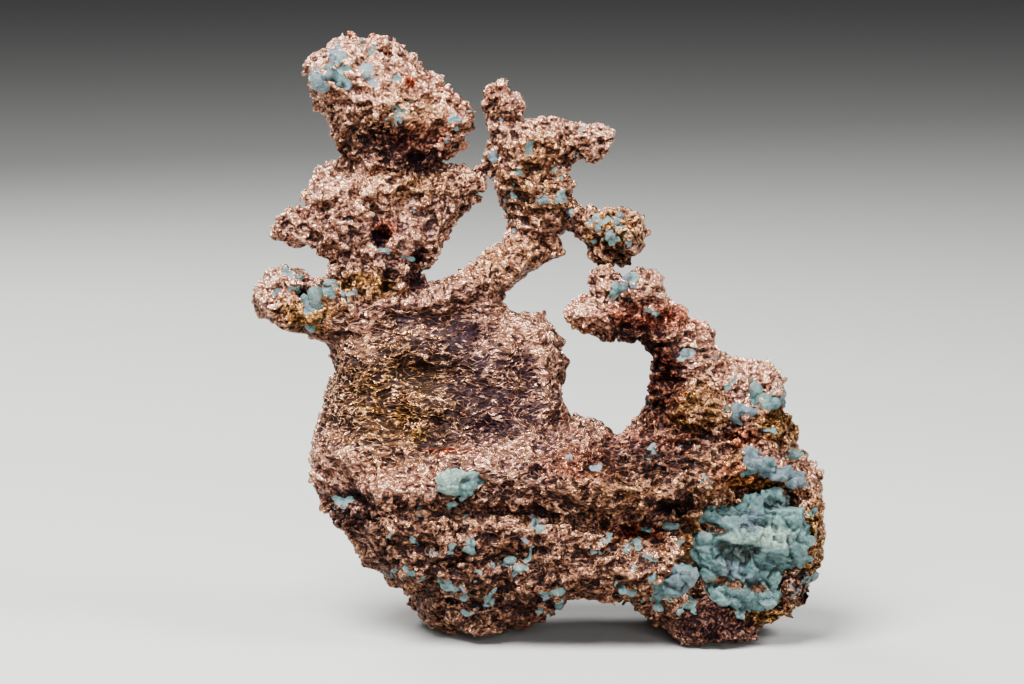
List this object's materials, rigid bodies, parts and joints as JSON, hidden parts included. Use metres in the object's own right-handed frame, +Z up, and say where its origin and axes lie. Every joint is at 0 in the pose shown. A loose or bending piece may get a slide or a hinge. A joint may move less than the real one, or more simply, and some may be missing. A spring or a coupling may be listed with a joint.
{
  "type": "native copper nugget",
  "caption": "Rough native copper nugget: a heavy hackly base with a wrinkled plate, branching arms around an open ring, and pale green minerals in its hollows.",
  "frame": {"origin": "on the ground under the middle of the nugget's box", "axes": "+Z up, -Y out of the side that shows the plate and the green pocket, +X to the right of that side"},
  "size_m": [0.0574, 0.0232, 0.0603],
  "materials": {
    "copper": "hackly native copper, bright on the high points and brown in the hollows",
    "green_mineral": "dull to waxy pale green and teal crust"
  },
  "bodies": {
    "root": {"base_mass": "copper", "plate": "copper", "left_branch": "copper", "middle_branch": "copper", "right_branch": "copper", "green_pocket": "green_mineral", "blue_lobe": "green_mineral", "upper_green_seam": "green_mineral", "side_green_seam": "green_mineral", "shelf_green_patch": "green_mineral", "knob_crystal": "green_mineral", "knob_green_crust": "green_mineral", "head_green_patch": "green_mineral", "berry_green_crust": "green_mineral", "arm_green_crust": "green_mineral"}
  },
  "joints": []
}
